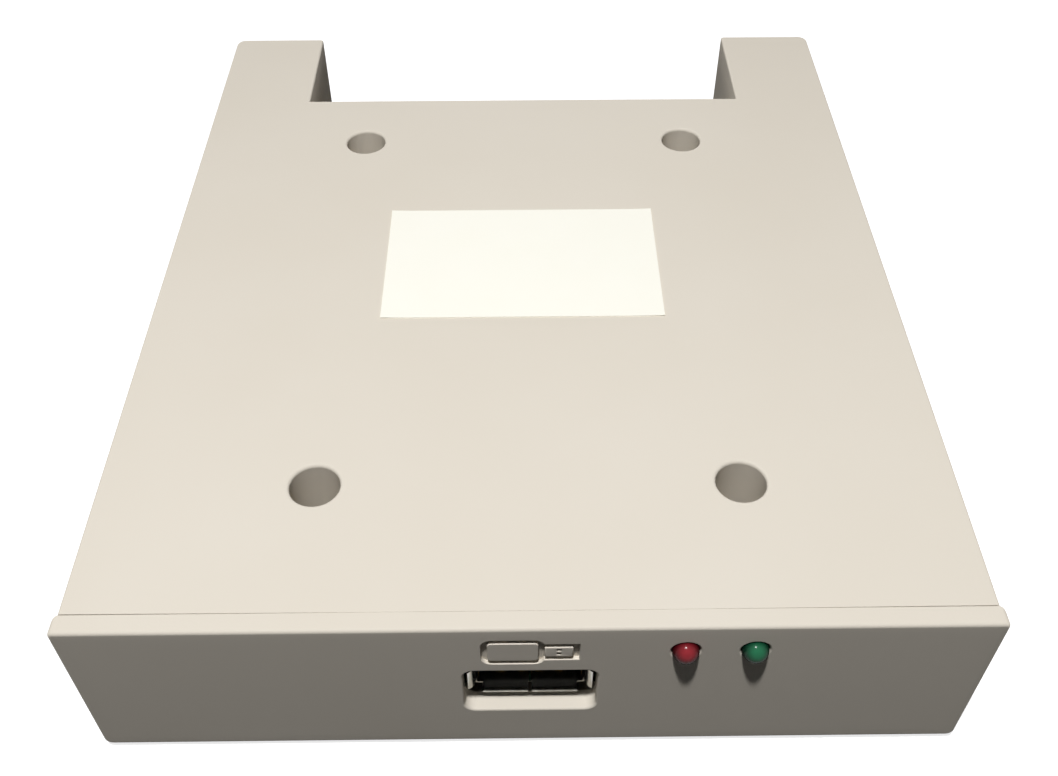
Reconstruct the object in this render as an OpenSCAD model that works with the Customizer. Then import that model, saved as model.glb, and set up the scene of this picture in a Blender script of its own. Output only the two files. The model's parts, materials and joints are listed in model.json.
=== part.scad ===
// Floppy drive emulator: a moulded drive case with a memory-stick port on its front panel,
// two signal lamps beside the port and a cable bay cut into its back. Lengths are in millimetres.
// The front looks along -Y, the right-hand side seen from the front is +X, and the base rests at Z = 0.

/* [Case] */
// Width of the case behind the front panel
body_w = 101.6; // [98:0.2:110]
// Height of the case from the base to the top
body_h = 25.4; // [24:0.2:32]
// Depth of the case behind the front panel
body_d = 120; // [114:0.5:146]
// Thickness of the case's walls, roof and floor
wall = 2; // [1.6:0.1:2.4]
// Rounding of the two outer corners at the back
corner_r = 1.5; // [0.5:0.1:2.5]
// Height of the joint between the two case halves
parting_z = 12.6; // [11:0.2:14]
// How far the guide ribs stand above the joint
rib_h = 1.6; // [1:0.1:3]
// Thickness of the guide ribs
rib_t = 1.2; // [0.8:0.1:1.8]
// Free room between mouldings that fit into one another
fit_gap = 0.15; // [0.1:0.05:0.3]

/* [Cable bay] */
// Width of the bay in the back
bay_w = 71.2; // [69:0.2:76]
// Depth of the bay
bay_d = 20; // [14:0.5:26]
// Free room around the headers in the bay's window
window_gap = 0.4; // [0.3:0.1:0.8]

/* [Front panel] */
// Width of the front panel
bezel_w = 102.8; // [101.6:0.2:114]
// Thickness of the front panel
bezel_t = 2.4; // [2:0.1:3]
// Height of the panel's lower edge above the base
bezel_foot = 0.8; // [0.2:0.1:1.6]
// Rounding of the panel's two lower corners
bezel_r = 1; // [0.6:0.1:2.5]
// How far the panel's rim reaches into the case
rim_d = 4; // [3.2:0.1:6]
// Thickness of the rim
rim_t = 1.4; // [1:0.1:1.8]
// Distance between the snaps on one side of the rim
snap_pitch = 66; // [40:1:70]
// Width of a snap
snap_w = 8; // [4:0.5:12]
// Length of a snap from front to back
snap_l = 1.4; // [1:0.1:1.8]
// How far a snap stands out of the rim
snap_h = 0.7; // [0.4:0.1:0.9]
// Length of the stick in the engraved picture
icon_l = 7; // [5:0.2:8]
// Width of that stick
icon_w = 4.8; // [3.4:0.1:5]
// Length of the stick's plug
icon_plug_l = 3.8; // [2.6:0.1:4.4]
// Width of the plug
icon_plug_w = 3.2; // [2.6:0.1:3.4]
// Line width of the engraving
icon_line = 0.7; // [0.4:0.1:0.9]
// Size of the two marks on the plug
icon_mark = 0.45; // [0.3:0.05:0.6]
// Depth of the engraving
icon_depth = 0.5; // [0.2:0.05:0.8]
// Height of the engraving's middle below the top
icon_drop = 4.6; // [4:0.1:5]

/* [Case screws] */
// Width of the screw wells in the top
well_d = 6; // [5.8:0.1:7]
// Distance between the left and right wells
well_pitch = 50.4; // [46:0.2:56]
// Distance of the front wells from the panel's front face
well_front = 20; // [19:0.5:26]
// Distance of the rear wells from the bay's wall
well_back = 12; // [11:0.5:18]
// Wall thickness of a well
well_wall = 1.6; // [1:0.1:1.8]
// Thickness of a well's floor under the screw head
well_floor = 2; // [1.4:0.1:3]
// Thread size of the case screws
screw_d = 3; // [2.5:0.1:3.2]
// Length of a case screw under its head
screw_l = 8; // [7:0.5:9]
// Width of a screw head
screw_head_d = 5.4; // [4.6:0.1:5.6]
// Height of a screw head
screw_head_h = 2.2; // [1.6:0.1:3]
// Thickness of the plastic around a screw in its post
post_wall = 2.4; // [1.6:0.1:3]

/* [Drive mounting holes] */
// Width of the mounting holes, tapped by the screw that goes in
mount_d = 2.5; // [2:0.1:2.8]
// Depth of the mounting holes
mount_depth = 6; // [5:0.5:6.5]
// Height of the side holes above the base
mount_z = 5; // [4.6:0.1:5.4]
// Distance of the front side holes behind the front panel
side_front = 21; // [17:0.5:24]
// Distance of the rear side holes from the back
side_back = 9; // [8:0.5:10]
// Distance between the left and right holes in the base
base_pitch = 92; // [86:0.5:92]
// Distance of the front base holes behind the front panel
base_front = 31; // [31:0.5:40]
// Distance of the rear base holes from the back
base_back = 19; // [19:0.5:24]

/* [Circuit board] */
// Thickness of the circuit board
board_t = 1.6; // [1.2:0.1:1.8]
// Height of the board's underside above the floor
board_lift = 5.9; // [5.7:0.1:6.4]
// Free room between the board and the side walls
board_side = 3; // [2:0.1:6]
// Free room between the board and the front panel
board_front = 1.4; // [1:0.1:2]
// Free room between the board and the bay's wall
board_back = 0.5; // [0.3:0.1:1]
// How far wire ends stand out below the board
tail_under = 1.2; // [0.6:0.1:2]

/* [Memory-stick port] */
// Inside width of the port's metal shell
port_w = 12.5; // [12.2:0.1:13]
// Inside height of the shell
port_h = 5.12; // [5:0.02:5.3]
// Sheet thickness of the shell
port_t = 0.3; // [0.2:0.05:0.4]
// Length of the shell
port_l = 14; // [13:0.5:16]
// Distance of the shell's front edge behind the panel's front face
port_back = 1.5; // [1.5:0.1:2.4]
// How far the shell's lips spread at the mouth
port_flare = 0.8; // [0.4:0.1:1]
// Free room beside the lips in the panel's opening
port_side_gap = 0.25; // [0.2:0.05:0.6]
// Free room above and below the lips in the panel's opening
port_top_gap = 0.66; // [0.3:0.02:0.8]
// Rounding of the opening's corners
port_r = 1.4; // [0.6:0.1:1.6]
// Width of the tongue
tongue_w = 11.1; // [10.8:0.1:11.4]
// Thickness of the tongue
tongue_t = 1.84; // [1.8:0.02:2]
// Distance of the tongue's tip behind the shell's front edge
tongue_back = 2.8; // [2.6:0.1:3.2]
// Free room above the tongue
tongue_gap = 0.72; // [0.6:0.02:0.8]
// Width of a contact spring
contact_w = 0.9; // [0.7:0.05:1]
// Sheet thickness of a contact spring
contact_t = 0.2; // [0.15:0.01:0.25]
// How far a contact stands out below the tongue
contact_proud = 0.45; // [0.3:0.05:0.5]
// Width of the spring fingers in the shell
finger_w = 2; // [1.4:0.1:2.4]
// Length of a spring finger
finger_l = 3.2; // [2.6:0.1:3.6]
// How far a finger presses into the port
finger_in = 0.42; // [0.2:0.02:0.5]
// Free slit round a finger
finger_gap = 0.3; // [0.2:0.05:0.4]

/* [Signal lamps] */
// Width of a lamp
lamp_d = 3; // [2.8:0.1:3.4]
// How far a lamp stands out of the panel
lamp_proud = 1.4; // [1.3:0.05:2]
// Distance of the red lamp from the middle
lamp_x = 17; // [15:0.1:20]
// Distance between the two lamps
lamp_pitch = 7.6; // [6:0.1:10]
// Height of the lamps' middle below the top
lamp_drop = 4.6; // [4.1:0.1:5]
// Free room around a lamp in its hole
lamp_gap = 0.1; // [0.05:0.05:0.2]

/* [Headers in the bay] */
// Number of columns in the drive header
drive_columns = 17; // [10:1:17]
// Number of columns in the jumper header
jumper_columns = 3; // [2:1:4]
// Number of pins in the power header
power_pins = 4; // [3:1:4]
// Distance between the power header's pins
power_pitch = 2.5; // [2.5:0.04:2.54]
// Free room between neighbouring headers
header_gap = 1.6; // [1:0.1:1.8]
// How far the pins stand out into the bay
pin_out = 6; // [5:0.1:7]
// Thickness of the square pins
pin_s = 0.64; // [0.5:0.02:0.7]
// Free room around a pin where it passes through plastic
pin_fit = 0.03; // [0.02:0.01:0.05]
// Width of a jumper's cap
cap_w = 2.3; // [2.1:0.05:2.4]
// Height of a cap over its two pins
cap_h = 4.9; // [4.8:0.02:5]
// Wall thickness of a cap
cap_wall = 0.4; // [0.3:0.05:0.45]
// Height of the power header
power_h = 6.2; // [5.6:0.1:7]

/* [Parts on the board] */
// Width of the controller chip
chip_w = 10; // [9:0.5:12]
// Height of the controller chip
chip_h = 1.4; // [1:0.1:2]
// Leads along one side of the controller chip
chip_leads = 16; // [12:1:16]
// Length of a buffer chip
buffer_l = 8.64; // [8.2:0.02:10]
// Width of a buffer chip
buffer_w = 3.9; // [3.4:0.1:4.4]
// Height of a buffer chip
buffer_h = 1.5; // [1.2:0.1:1.8]
// Width of the voltage regulator
regulator_w = 6.5; // [6:0.1:7]
// Length of the voltage regulator from front to back
regulator_l = 3.5; // [3:0.1:4]
// Height of the voltage regulator
regulator_h = 1.6; // [1.2:0.1:1.8]
// Length of the crystal's can
crystal_l = 10.4; // [9:0.1:11.5]
// Width of the crystal's can
crystal_w = 3.8; // [3:0.1:4.5]
// Height of the crystal's can
crystal_h = 3.6; // [2.5:0.1:5]
// Width of the round capacitors
can_d = 5; // [4:0.5:6.3]
// Height of the round capacitors
can_h = 7; // [5:0.5:11]

/* [Label] */
// Width of the paper label
label_w = 38.5; // [30:0.5:40]
// Length of the label from front to back
label_l = 23.4; // [15:0.2:40]
// Thickness of the label
label_t = 0.12; // [0.08:0.02:0.3]
// Distance of the label's front edge from the panel's front face
label_front = 48.8; // [40:0.1:58]
// How far the label sits off the middle
label_shift = -0.45; // [-2:0.05:2]

/* [Hidden] */
$fn = 48;
// standard spacing of header pins and lamp leads
pitch = 2.54;
// how far a cut runs past the face that it opens
over = 1;
// stations from front to back
y_face = (lamp_proud - bezel_t - body_d) / 2;
y_body = y_face + bezel_t;
y_rear = y_body + body_d;
y_bay = y_rear - bay_d;
y_board = y_body + board_front;
y_board_end = y_bay - wall - board_back;
y_mid = (y_board + y_board_end) / 2;
// levels
z_board = wall + board_lift;
z_top = z_board + board_t;
z_seat = z_top + well_floor;
z_lamp = body_h - lamp_drop;
// snaps of the front panel
snap_gap = 0.2;
snap_end = 0.8;
snap_y = y_body + rim_d - snap_end - snap_l / 2;
// guide ribs
rib_root = 3;
rib_end = 2;
// circuit board
board_w = body_w - 2 * (wall + board_side);
// screw wells
screw_gap = 0.4;
thread_gap = 0.1;
thread_end = 0.5;
wells = [for (s = [-1, 1]) for (y = [y_face + well_front, y_bay - well_back]) [s * well_pitch / 2, y]];
well_od = well_d + 2 * well_wall;
screw_hole_d = screw_d + screw_gap;
post_d = screw_d + 2 * post_wall;
z_tip = z_seat - screw_l;
// mounting holes
side_holes = [y_body + side_front, y_rear - side_back];
base_holes = [for (s = [-1, 1]) for (y = [y_body + base_front, y_rear - base_back]) [s * base_pitch / 2, y]];
mount_wall = 2.2;
mount_end = 1.5;
block_w = mount_d + 2 * mount_wall;
block_top = min(mount_z + mount_d / 2 + mount_wall, z_board - 0.3);
// memory-stick port
port_ow = port_w + 2 * port_t;
port_oh = port_h + 2 * port_t;
port_lift = 0.2;
port_z = z_top + port_lift + port_oh / 2;
port_y = y_face + port_back;
port_end = port_y + port_l;
slot_w = port_ow + 2 * (port_flare + port_side_gap);
slot_h = port_oh + 2 * (port_flare + port_top_gap);
tongue_z = port_z + port_h / 2 - tongue_gap - tongue_t;
root_l = 3.8;
root_y = port_end - root_l;
seam_w = 0.2;
lip_w = port_w * 0.424;
lip_x = port_w * 0.228;
lip_h = port_h * 0.7;
finger_x = port_w * 0.256;
finger_y = port_y + 5.8;
contact_gap = 0.3;
groove_w = contact_w + 2 * contact_gap;
groove_h = 1.1;
groove_end = 0.6;
contact_xs = [-3.5, -1, 1, 3.5];
knuckle_r = 0.25;
knuckle_gap = 0.35;
hinge_y = root_y + knuckle_gap;
hinge_z = tongue_z + groove_h / 2;
crest_y = port_y + tongue_back + 2.4;
tail_w = 0.6;
tail_t = 0.2;
tail_fit = 0.03;
foot_y = port_end + 0.8;
tail_y = foot_y + tail_w;
leg_y = port_y + 8.6;
leg_w = 1.8;
// lamps
lamp_xs = [lamp_x, lamp_x + lamp_pitch];
flange_d = lamp_d + 0.8;
flange_t = 1;
flange_gap = 0.4;
lamp_set = 0.2;
lamp_end = y_body + lamp_set + flange_t;
lead_s = 0.5;
lead_y = lamp_end + 2;
// headers
block_d = pitch;
rows = [z_top + pitch / 2, z_top + 1.5 * pitch];
drive_w = drive_columns * pitch;
jumper_w = jumper_columns * pitch;
power_wall = 1.1;
power_w = power_pins * power_pitch + 2 * power_wall;
power_roof = 1.2;
power_out = pin_out + 0.4;
headers_w = drive_w + jumper_w + power_w + 2 * header_gap;
drive_x = -headers_w / 2 + drive_w / 2;
jumper_x = -headers_w / 2 + drive_w + header_gap + jumper_w / 2;
power_x = headers_w / 2 - power_w / 2;
bend_out = 1;
tail_rows = [y_bay - block_d - bend_out, y_bay - block_d - bend_out - pitch];
pin_hole_d = pin_s * 1.5 + 0.1;
lead_hole_d = 0.9;
drive_pin_xs = [for (i = [0 : drive_columns - 1]) drive_x + (i - (drive_columns - 1) / 2) * pitch];
jumper_pin_xs = [for (i = [0 : jumper_columns - 1]) jumper_x + (i - (jumper_columns - 1) / 2) * pitch];
power_pin_xs = [for (i = [0 : power_pins - 1]) power_x + (i - (power_pins - 1) / 2) * power_pitch];
jumper_xs = [jumper_pin_xs[0], jumper_pin_xs[jumper_columns - 1]];
cap_gap = 0.3;
cap_y = y_bay + cap_gap;
cap_z = (rows[0] + rows[1]) / 2;
cap_grip = 0.6;
clip_fit = 0.03;
clip_end = 0.4;
pin_end = 0.2;
clip_l = pin_out + pin_end - cap_gap + clip_end;
cap_l = clip_l + cap_wall + 2 * clip_fit;
// parts on the board
chip_at = [0, y_mid + 3];
chip_pitch = 0.5;
chip_reach = 1;
chip_stand = 0.1;
buffer_back = 12;
buffer_y = tail_rows[1] - buffer_back;
buffer_ats = [[drive_x, buffer_y], [drive_x + 2 * buffer_l, buffer_y]];
buffer_pitch = 1.27;
buffer_leads_n = 7;
buffer_reach = 1.05;
buffer_stand = 0.15;
regulator_back = 22;
regulator_at = [power_x, tail_rows[0] - regulator_back];
regulator_pitch = 2.3;
regulator_reach = 1.75;
regulator_stand = 0.05;
crystal_at = [chip_w / 2 + crystal_l / 2 + 4, chip_at[1]];
crystal_rim = 0.4;
crystal_rim_t = 0.6;
can_side = 12;
can_x = -board_w / 2 + can_side;
can_ats = [[can_x, chip_at[1] + can_d], [can_x, chip_at[1] - can_d]];
small_l = 1.6;
small_w = 0.8;
resistor_h = 0.45;
capacitor_h = 0.8;
small_count = 6;
small_pitch = 2.4;
small_gap = 4;
resistor_y = chip_at[1] + chip_w / 2 + small_gap;
capacitor_x = -chip_w / 2 - small_gap;
resistor_ats = [for (i = [0 : small_count - 1]) [(i - 3) * small_pitch, resistor_y]];
capacitor_ats = [for (i = [0 : small_count - 1]) [capacitor_x, chip_at[1] + (i - 2.5) * small_pitch]];

// the case's outline, drawn in by the given amounts at the sides and at the front
function outline(side, front) = [
  [-body_w / 2 + side, y_body + front],
  [body_w / 2 - side, y_body + front],
  [body_w / 2 - side, y_rear - side],
  [bay_w / 2 + side, y_rear - side],
  [bay_w / 2 + side, y_bay - side],
  [-bay_w / 2 - side, y_bay - side],
  [-bay_w / 2 - side, y_rear - side],
  [-body_w / 2 + side, y_rear - side]
];

// turns a flat shape drawn in X and Z into a body from one Y to another
module along_y(from, to) {
  translate([0, to, 0])
    rotate([90, 0, 0])
      linear_extrude(to - from)
        children();
}

// turns a flat shape drawn in Y and Z into a body of a given width, centred on x
module along_x(x, width) {
  translate([x - width / 2, 0, 0])
    rotate([90, 0, 90])
      linear_extrude(width)
        children();
}

module soft_rect(w, h, r) {
  square([w, h - 2 * r], center = true);
  square([w - 2 * r, h], center = true);
  for (sx = [-1, 1])
    for (sz = [-1, 1])
      translate([sx * (w / 2 - r), sz * (h / 2 - r)])
        circle(r);
}

module case_block(from, to) {
  difference() {
    translate([0, 0, from])
      linear_extrude(to - from)
        polygon(outline(0, 0));
    for (s = [-1, 1])
      translate([s * (body_w / 2 - corner_r), y_rear - corner_r, from - over])
        difference() {
          translate([s > 0 ? 0 : -corner_r - over, 0, 0])
            cube([corner_r + over, corner_r + over, to - from + 2 * over]);
          cylinder(r = corner_r, h = to - from + 2 * over);
        }
  }
}

module cavity(from, to) {
  translate([0, 0, from])
    linear_extrude(to - from)
      polygon(outline(wall, -over));
}

module bay_window() {
  translate([-headers_w / 2 - window_gap, y_bay - wall - over, z_top - 0.3])
    cube([headers_w + 2 * window_gap, wall + 2 * over, power_h + 0.3 + window_gap]);
}

// pockets that the panel's snaps drop into, in the roof or in the floor
module snap_pockets(z) {
  for (s = [-1, 1])
    translate([s * snap_pitch / 2, snap_y, z])
      cube([snap_w + 2 * snap_gap, snap_l + 2 * snap_gap, 2 * snap_h], center = true);
}

module top_cover() {
  color("#ece5d7")
    difference() {
      union() {
        difference() {
          case_block(parting_z, body_h);
          cavity(parting_z - over, body_h - wall);
        }
        for (p = wells)
          translate([p[0], p[1], z_top])
            cylinder(d = well_od, h = body_h - wall / 2 - z_top);
      }
      for (p = wells) {
        translate([p[0], p[1], z_seat])
          cylinder(d = well_d, h = body_h);
        translate([p[0], p[1], z_top - over])
          cylinder(d = screw_hole_d, h = well_floor + 2 * over);
      }
      bay_window();
      snap_pockets(body_h - wall);
    }
}

module guide_ribs() {
  from = y_body + rim_d + rib_end;
  length = y_rear - wall - rib_end - from;
  for (s = [-1, 1]) {
    inner = body_w / 2 - wall - fit_gap - rib_t;
    translate([s > 0 ? inner : -inner - rib_t - fit_gap - wall / 2, from, parting_z - rib_root])
      cube([rib_t + fit_gap + wall / 2, length, rib_root]);
    translate([s > 0 ? inner : -inner - rib_t, from, parting_z - rib_root])
      cube([rib_t, length, rib_root + rib_h]);
  }
}

module mount_blocks() {
  depth = mount_depth + mount_end;
  for (s = [-1, 1])
    for (y = side_holes)
      translate([s > 0 ? body_w / 2 - depth : wall / 2 - body_w / 2, y - block_w / 2, wall / 2])
        cube([depth - wall / 2, block_w, block_top - wall / 2]);
  for (p = base_holes)
    translate([p[0], p[1], wall / 2])
      cylinder(d = block_w, h = min(mount_depth + mount_end, z_board - 0.3) - wall / 2);
}

module bottom_shell() {
  color("#e6dfd0")
    difference() {
      union() {
        difference() {
          case_block(0, parting_z);
          cavity(wall, parting_z + over);
        }
        for (p = wells)
          translate([p[0], p[1], wall / 2])
            cylinder(d = post_d, h = z_board - wall / 2);
        guide_ribs();
        mount_blocks();
      }
      for (p = wells)
        translate([p[0], p[1], z_tip - thread_end])
          cylinder(d = screw_d + thread_gap, h = z_board - z_tip + thread_end + over);
      for (s = [-1, 1])
        for (y = side_holes)
          translate([s * (body_w / 2 + over), y, mount_z])
            rotate([0, -90 * s, 0])
              cylinder(d = mount_d, h = mount_depth + over);
      for (p = base_holes)
        translate([p[0], p[1], -over])
          cylinder(d = mount_d, h = mount_depth + over);
      bay_window();
      snap_pockets(wall);
    }
}

// a plain memory stick with its plug, drawn in lines
module icon_lines() {
  middle = -icon_plug_l / 2;
  plug_x = middle + icon_l / 2;
  difference() {
    translate([middle, 0])
      soft_rect(icon_l, icon_w, icon_w / 4);
    translate([middle, 0])
      soft_rect(icon_l - 2 * icon_line, icon_w - 2 * icon_line, max(icon_w / 4 - icon_line, 0.1));
  }
  difference() {
    translate([plug_x - icon_line / 2, -icon_plug_w / 2])
      square([icon_plug_l + icon_line / 2, icon_plug_w]);
    translate([plug_x - over, -icon_plug_w / 2 + icon_line])
      square([icon_plug_l + over - icon_line, icon_plug_w - 2 * icon_line]);
  }
  for (s = [-1, 1])
    translate([plug_x + (icon_plug_l - icon_line) / 2, s * icon_mark * 0.8])
      square(icon_mark, center = true);
}

module front_bezel() {
  rim_w = body_w - 2 * (wall + fit_gap);
  rim_h = body_h - 2 * (wall + fit_gap);
  height = body_h - bezel_foot;
  color("#eae2d2")
    difference() {
      union() {
        along_y(y_face, y_body)
          translate([0, bezel_foot + height / 2]) {
            translate([0, bezel_r / 2])
              square([bezel_w, height - bezel_r], center = true);
            square([bezel_w - 2 * bezel_r, height], center = true);
            for (s = [-1, 1])
              translate([s * (bezel_w / 2 - bezel_r), bezel_r - height / 2])
                circle(bezel_r);
          }
        along_y(y_body - wall / 4, y_body + rim_d)
          translate([0, body_h / 2])
            difference() {
              square([rim_w, rim_h], center = true);
              square([rim_w - 2 * rim_t, rim_h - 2 * rim_t], center = true);
            }
        for (s = [-1, 1])
          for (t = [-1, 1])
            translate([s * snap_pitch / 2, snap_y, body_h / 2 + t * rim_h / 2])
              cube([snap_w, snap_l, 2 * snap_h - fit_gap], center = true);
      }
      along_y(y_face - over, y_body + over)
        translate([0, port_z])
          soft_rect(slot_w, slot_h, port_r);
      for (x = lamp_xs) {
        along_y(y_face - over, y_body + over)
          translate([x, z_lamp])
            circle(d = lamp_d + 2 * lamp_gap);
        translate([x - flange_d / 2 - flange_gap, y_body, z_lamp - flange_d / 2 - flange_gap])
          cube([flange_d + 2 * flange_gap, rim_d + over, body_h - wall - z_lamp + flange_d / 2 + flange_gap]);
      }
      along_y(y_face - over, y_face + icon_depth)
        translate([0, body_h - icon_drop])
          icon_lines();
    }
}

module paper_label() {
  color("#fffdf1")
    translate([label_shift - label_w / 2, y_face + label_front, body_h])
      cube([label_w, label_l, label_t]);
}

module case_screws() {
  rim = screw_head_h * 0.6;
  color("#8f9195")
    for (p = wells)
      translate([p[0], p[1], z_seat])
        difference() {
          union() {
            cylinder(d = screw_head_d, h = rim);
            translate([0, 0, rim])
              cylinder(d1 = screw_head_d, d2 = screw_head_d * 0.72, h = screw_head_h - rim);
            translate([0, 0, -screw_l])
              cylinder(d = screw_d, h = screw_l + screw_head_h / 2);
          }
          for (a = [0, 90])
            rotate(a)
              translate([0, 0, screw_head_h])
                cube([screw_head_d * 0.54, screw_head_d * 0.14, screw_head_h], center = true);
        }
}

module board_hole(x, y, d) {
  translate([x, y, z_board - over])
    cylinder(d = d, h = board_t + 2 * over);
}

module main_board() {
  color("#1f6b3a")
    difference() {
      translate([-board_w / 2, y_board, z_board])
        cube([board_w, y_board_end - y_board, board_t]);
      for (p = wells)
        board_hole(p[0], p[1], screw_hole_d);
      for (y = tail_rows) {
        for (x = concat(drive_pin_xs, jumper_pin_xs))
          board_hole(x, y, pin_hole_d);
      }
      for (x = power_pin_xs)
        board_hole(x, tail_rows[0], pin_hole_d);
      for (x = contact_xs)
        board_hole(x, tail_y, lead_hole_d);
      for (s = [-1, 1])
        board_hole(s * (port_ow - port_t) / 2, leg_y, leg_w + 0.5);
      for (x = lamp_xs)
        for (s = [-1, 1])
          board_hole(x + s * pitch / 2, lead_y, lead_hole_d);
    }
}

// one spring finger cut out of the shell, in Y and Z, pressing towards the middle
module finger_profile() {
  bend = finger_l * 0.25;
  tip_in = finger_in * 0.7;
  polygon([
    [finger_l, 0], [finger_l, port_t], [bend, finger_in + port_t],
    [0, tip_in + port_t], [0, tip_in], [bend, finger_in]
  ]);
}

// one lip of the mouth, in a length and a height
module lip_profile() {
  polygon([
    [0, -port_flare], [port_flare, 0], [port_flare, port_t], [0, port_t - port_flare]
  ]);
}

module usb_shell() {
  lip_end = port_y + port_flare;
  slit_w = finger_w + 2 * finger_gap;
  slit_l = finger_l + finger_gap;
  color("#c9cbcd")
    union() {
      difference() {
        translate([-port_ow / 2, lip_end, port_z - port_oh / 2])
          cube([port_ow, port_end - lip_end, port_oh]);
        translate([-port_w / 2, lip_end - over, port_z - port_h / 2])
          cube([port_w, port_end - lip_end + 2 * over, port_h]);
        translate([-seam_w / 2, lip_end - over, port_z - port_oh / 2 - over])
          cube([seam_w, port_end - lip_end + 2 * over, port_t + 2 * over]);
        for (s = [-1, 1])
          for (t = [-1, 1])
            translate([s * finger_x - slit_w / 2, finger_y, port_z + t * (port_oh - port_t) / 2 - over])
              cube([slit_w, slit_l, 2 * over]);
      }
      for (t = [-1, 1])
        translate([0, 0, port_z])
          mirror([0, 0, t > 0 ? 1 : 0])
            translate([0, 0, -port_oh / 2])
              for (s = [-1, 1]) {
                along_x(s * lip_x, lip_w)
                  translate([port_y, 0])
                    lip_profile();
                along_x(s * finger_x, finger_w)
                  translate([finger_y + finger_gap, 0])
                    finger_profile();
              }
      for (s = [-1, 1]) {
        translate([0, port_y, port_z - lip_h / 2])
          mirror([s > 0 ? 1 : 0, 0, 0])
            translate([-port_ow / 2, 0, 0])
              rotate([0, 0, 90])
                mirror([0, 1, 0])
                  linear_extrude(lip_h)
                    lip_profile();
        translate([s > 0 ? port_ow / 2 - port_t : -port_ow / 2, leg_y - leg_w / 2, z_board - tail_under])
          cube([port_t, leg_w, port_z - z_board + tail_under]);
      }
    }
}

module usb_insulator() {
  block_w = port_w - 2 * tail_fit;
  tongue_l = root_y - port_y - tongue_back;
  color("#1b1b1c")
    difference() {
      union() {
        translate([-block_w / 2, root_y, port_z - port_h / 2 + tail_fit])
          cube([block_w, foot_y - root_y, port_h - 2 * tail_fit]);
        translate([-block_w / 2, port_end + tail_fit, z_top])
          cube([block_w, foot_y - port_end - tail_fit, port_z - z_top]);
        translate([-tongue_w / 2, port_y + tongue_back, tongue_z])
          cube([tongue_w, tongue_l + root_l / 2, tongue_t]);
      }
      for (x = contact_xs) {
        translate([x - groove_w / 2, port_y + tongue_back + groove_end, tongue_z - over])
          cube([groove_w, tongue_l - groove_end, groove_h + over]);
        translate([x - groove_w / 2, root_y - over, tongue_z])
          cube([groove_w, knuckle_gap + 2 * knuckle_r + over, groove_h]);
        translate([x - tail_w / 2 - tail_fit, root_y, hinge_z - tail_t / 2 - tail_fit])
          cube([tail_w + 2 * tail_fit, foot_y - root_y + over, tail_t + 2 * tail_fit]);
      }
    }
}

// a contact leaf, rolled at its root and bent down to a crest that a plug presses up
module usb_contact(n) {
  h = contact_t / 2;
  crest_z = tongue_z - contact_proud + h;
  tip_y = crest_y - 1;
  tip_z = tongue_z + contact_t;
  color("#c9a24a")
    along_x(contact_xs[n - 1], contact_w)
      union() {
        polygon([
          [hinge_y, hinge_z - h], [hinge_y, hinge_z + h],
          [crest_y, crest_z + h], [tip_y, tip_z + h],
          [tip_y, tip_z - h], [crest_y, crest_z - h]
        ]);
        translate([hinge_y, hinge_z])
          circle(knuckle_r);
      }
}

module usb_contact_tails() {
  start = hinge_y + knuckle_r + tail_fit;
  color("#c9a24a")
    for (x = contact_xs) {
      translate([x - tail_w / 2, start, hinge_z - tail_t / 2])
        cube([tail_w, tail_y + tail_t / 2 - start, tail_t]);
      translate([x - tail_w / 2, tail_y - tail_t / 2, z_board - tail_under])
        cube([tail_w, tail_t, hinge_z + tail_t / 2 - z_board + tail_under]);
    }
}

// a lamp's clear body: dome, barrel and flange in one, standing along Y
module led_lens(x) {
  r = lamp_d / 2;
  length = lamp_end - y_face + lamp_proud;
  translate([x, lamp_end, z_lamp])
    rotate([90, 0, 0])
      rotate_extrude()
        union() {
          square([r, length - r]);
          intersection() {
            translate([0, length - r])
              circle(r);
            translate([0, length - r - 0.2])
              square([r + over, r + over]);
          }
          square([flange_d / 2, flange_t]);
        }
}

module led_leads(x) {
  for (s = [-1, 1]) {
    translate([x + s * pitch / 2 - lead_s / 2, lamp_end, z_lamp - lead_s / 2])
      cube([lead_s, lead_y + lead_s / 2 - lamp_end, lead_s]);
    translate([x + s * pitch / 2 - lead_s / 2, lead_y - lead_s / 2, z_board - tail_under])
      cube([lead_s, lead_s, z_lamp + lead_s / 2 - z_board + tail_under]);
  }
}

module red_led_lens() {
  color("#c0392b")
    led_lens(lamp_xs[0]);
}

module red_led_leads() {
  color("#c4c6c8")
    led_leads(lamp_xs[0]);
}

module green_led_lens() {
  color("#4f9d6e")
    led_lens(lamp_xs[1]);
}

module green_led_leads() {
  color("#c4c6c8")
    led_leads(lamp_xs[1]);
}

// a bent chip lead from the body's side down to a foot on the board, pointing along +X
module gull_lead(reach, rise, width, t) {
  translate([0, width / 2, 0])
    rotate([90, 0, 0])
      linear_extrude(width)
        polygon([
          [0, rise], [0, rise + t], [reach * 0.4 + t, rise + t], [reach * 0.4 + t, t],
          [reach, t], [reach, 0], [reach * 0.4, 0], [reach * 0.4, rise]
        ]);
}

module controller_chip() {
  dot_d = 1;
  dot_depth = 0.1;
  color("#26272a")
    translate([chip_at[0], chip_at[1], z_top + chip_stand])
      difference() {
        translate([-chip_w / 2, -chip_w / 2, 0])
          cube([chip_w, chip_w, chip_h]);
        translate([dot_d - chip_w / 2, dot_d - chip_w / 2, chip_h - dot_depth])
          cylinder(d = dot_d, h = over);
      }
}

module controller_leads() {
  lead_w = chip_pitch * 0.44;
  lead_t = 0.13;
  color("#c4c6c8")
    for (side = [0 : 3])
      translate([chip_at[0], chip_at[1], z_top])
        rotate(90 * side)
          for (i = [0 : chip_leads - 1])
            translate([chip_w / 2, (i - (chip_leads - 1) / 2) * chip_pitch, 0])
              gull_lead(chip_reach, chip_h / 2, lead_w, lead_t);
}

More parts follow.
